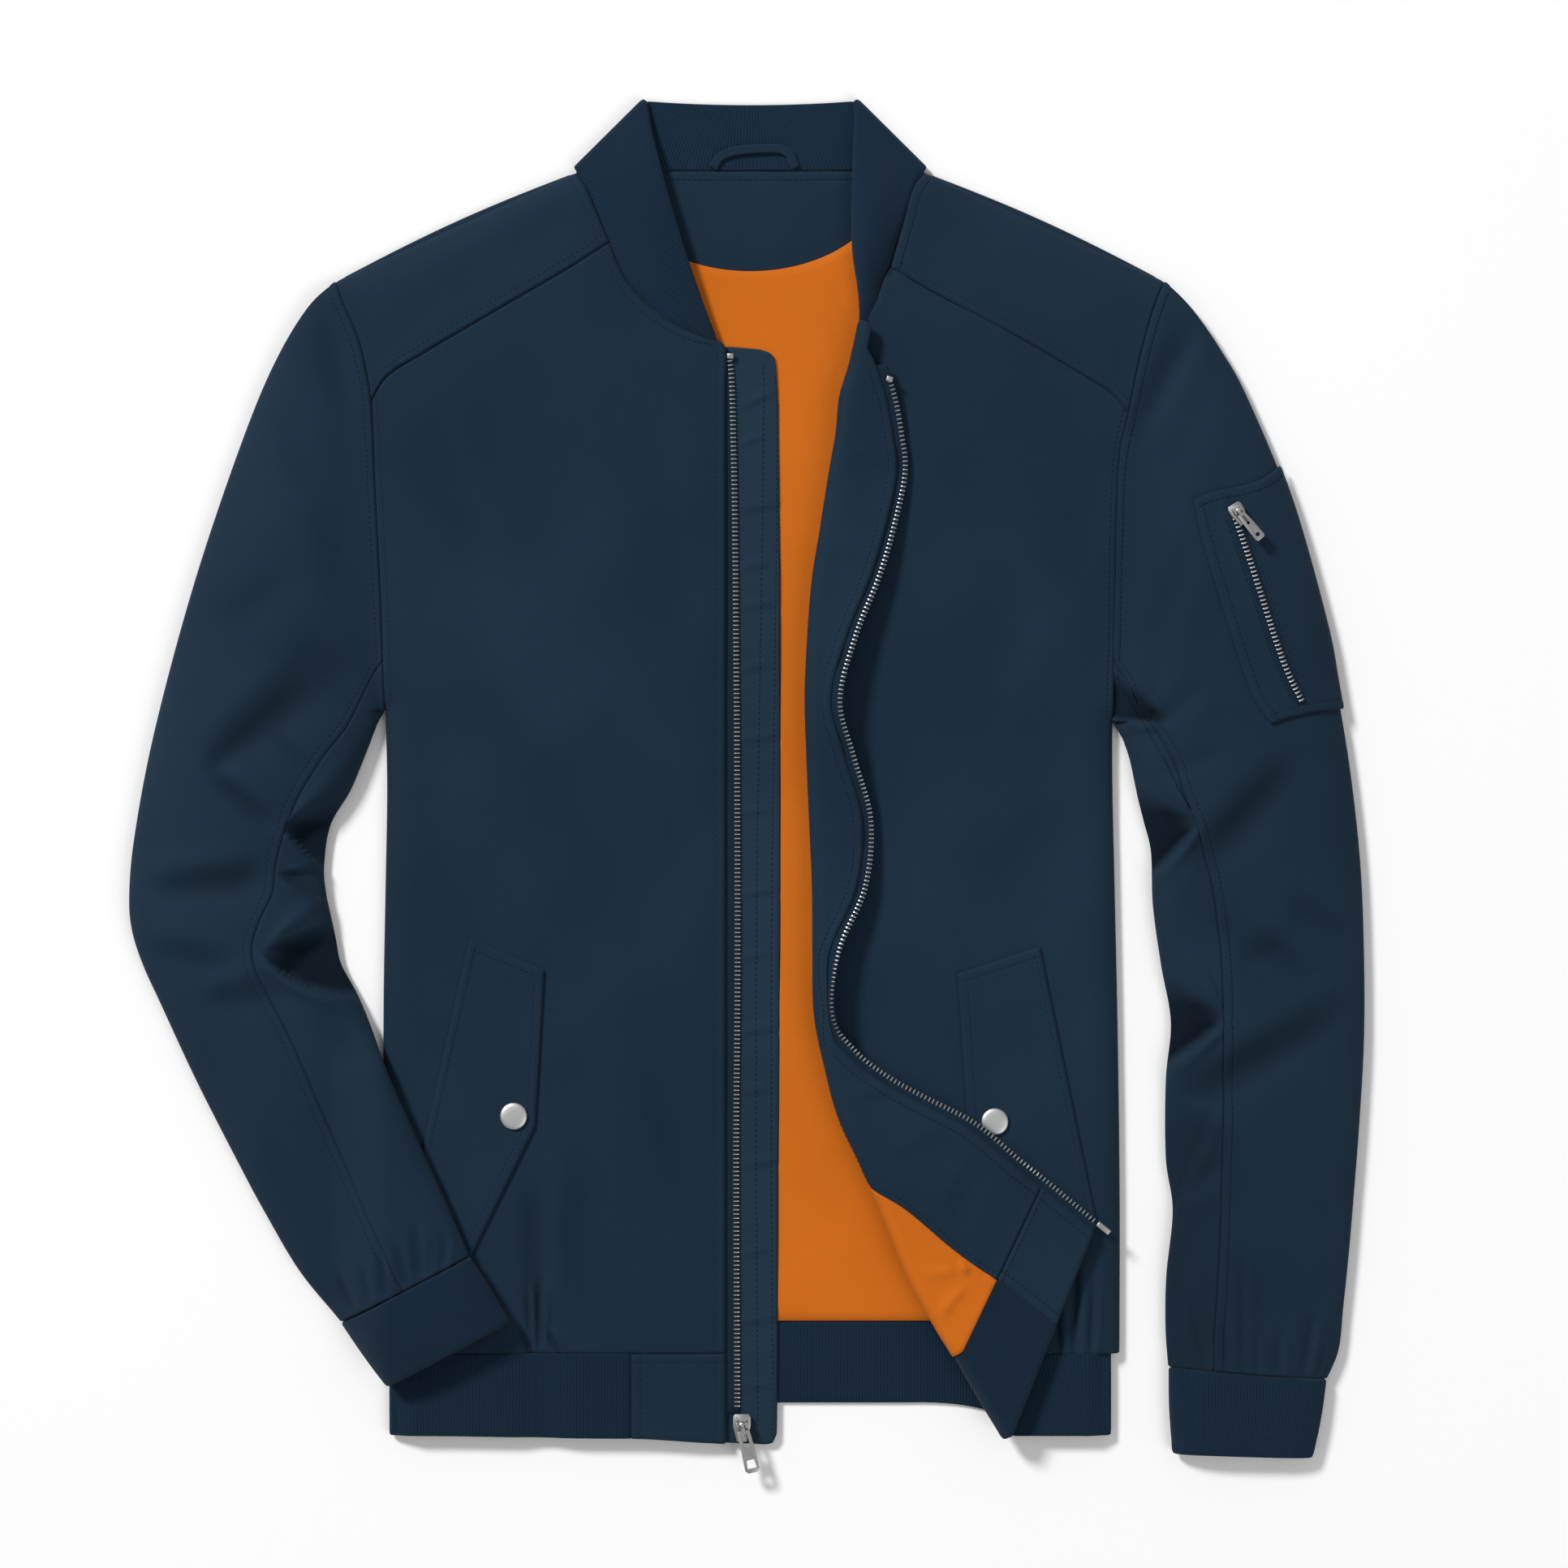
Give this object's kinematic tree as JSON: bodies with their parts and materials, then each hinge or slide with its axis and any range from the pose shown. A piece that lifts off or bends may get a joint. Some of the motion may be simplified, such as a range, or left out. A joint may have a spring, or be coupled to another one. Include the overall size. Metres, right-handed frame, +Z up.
{
  "type": "bomber jacket",
  "caption": "Light navy bomber jacket laid flat and open, left front folded back to show its orange lining, with knit collar, cuffs and hem.",
  "frame": {"origin": "on the underside of the back, midway between its sides and about halfway down, on the surface that the jacket lies on", "axes": "+Z up from the surface, +Y towards the collar, +X towards the wearer's left sleeve"},
  "size_m": [0.6839, 0.7601, 0.0254],
  "materials": {
    "shell": "navy woven cloth with a low sheen",
    "rib_knit": "navy fine rib knit, matt",
    "lining": "orange smooth lining with a soft sheen",
    "zip_tape": "dark woven tape, matt",
    "metal": "silver grey, satin"
  },
  "bodies": {
    "jacket": {"back": "shell", "collar": "rib_knit", "cuff_left": "rib_knit", "cuff_right": "rib_knit", "facing_left": "shell", "front_left": "shell", "front_right": "shell", "hanger_loop": "shell", "hem_rib": "rib_knit", "hem_tab_left": "shell", "hem_tab_right": "shell", "lining_back": "lining", "lining_left": "lining", "neck_facing": "shell", "pocket_flap_left": "shell", "pocket_flap_right": "shell", "sleeve_left_top": "shell", "sleeve_left_under": "shell", "sleeve_pocket": "shell", "sleeve_right_top": "shell", "sleeve_right_under": "shell", "slider_main": "metal", "slider_sleeve": "metal", "snap_left": "metal", "snap_right": "metal", "wind_flap": "shell", "yoke_left": "shell", "yoke_right": "shell", "zip_pin": "metal", "zip_stop_left": "metal", "zip_stop_right": "metal", "zip_tape_left": "zip_tape", "zip_tape_right": "zip_tape", "zip_tape_sleeve": "zip_tape"},
    "main_pull": {"pull_main": "metal"},
    "sleeve_pull": {"pull_sleeve": "metal"}
  },
  "joints": [
    {"name": "main_pull_hinge", "type": "hinge", "parent": "jacket", "child": "main_pull", "pos_m": [-0.0046, -0.352, 0.01044], "axis": [-0.9713, -0.2377, 0], "range_deg": [0, 150]},
    {"name": "sleeve_pull_hinge", "type": "hinge", "parent": "jacket", "child": "sleeve_pull", "pos_m": [0.26794, 0.15195, 0.02365], "axis": [-0.7679, -0.6344, 0.0882], "range_deg": [0, 150]}
  ]
}
